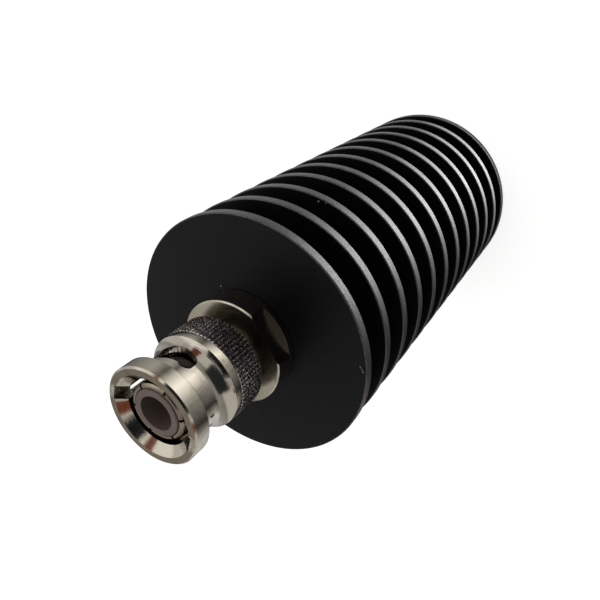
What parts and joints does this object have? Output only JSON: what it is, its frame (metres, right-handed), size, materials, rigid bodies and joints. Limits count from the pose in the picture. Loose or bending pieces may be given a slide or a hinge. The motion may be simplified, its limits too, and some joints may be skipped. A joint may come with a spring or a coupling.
{
  "type": "coaxial terminator",
  "caption": "Coaxial terminator: bayonet plug with a knurled coupling nut on a round black heat sink with disc fins.",
  "frame": {"origin": "centre of the heat sink's flat rear face", "axes": "+Z along the axis towards the plug, +X square to one wrench flat of the plug's flange"},
  "size_m": [0.04, 0.04, 0.0947],
  "materials": {
    "anodised_aluminium": "black anodised, satin, turned",
    "nickel_plate": "nickel plated brass, polished",
    "nut_plate": "nickel plated brass, turned and knurled",
    "spring_steel": "spring steel, plain",
    "gasket_rubber": "silicone rubber, matt",
    "insulator_plastic": "white fluoropolymer, aged to grey",
    "bead_plastic": "white fluoropolymer",
    "gold_plate": "gold plated brass",
    "carrier_brass": "plain turned brass",
    "black_screw": "blackened steel",
    "screw_steel": "zinc plated steel",
    "chip_ceramic": "white alumina",
    "film_ink": "dark resistive film",
    "silver_strip": "silver plated strip"
  },
  "bodies": {
    "body": {"heat_sink": "anodised_aluminium", "connector_body": "nickel_plate", "rear_wave_washer": "spring_steel", "front_wave_washer": "spring_steel", "interface_gasket": "gasket_rubber", "outer_contact": "nickel_plate", "front_insulator": "insulator_plastic", "rear_insulator": "bead_plastic", "centre_pin": "gold_plate", "load_carrier": "carrier_brass", "carrier_screw": "black_screw", "resistor_flange": "gold_plate", "left_flange_screw": "screw_steel", "right_flange_screw": "screw_steel", "resistor_chip": "chip_ceramic", "resistor_film": "film_ink", "chip_cover": "chip_ceramic", "resistor_tab": "silver_strip"},
    "spring_seat": {"thrust_washer": "nickel_plate"},
    "coupling": {"coupling_nut": "nut_plate", "retaining_ring": "spring_steel"}
  },
  "joints": [
    {"name": "nut_pull", "type": "slide", "parent": "body", "child": "spring_seat", "axis": [0, 0, 1], "range_m": [0, 0.0005], "stiffness_N_per_m": 8000, "springref_m": -0.0004, "deforming": ["rear_wave_washer", "front_wave_washer"]},
    {"name": "nut_turn", "type": "hinge", "parent": "spring_seat", "child": "coupling", "pos_m": [0, 0, 0.0874], "axis": [0, 0, 1], "continuous": true}
  ]
}
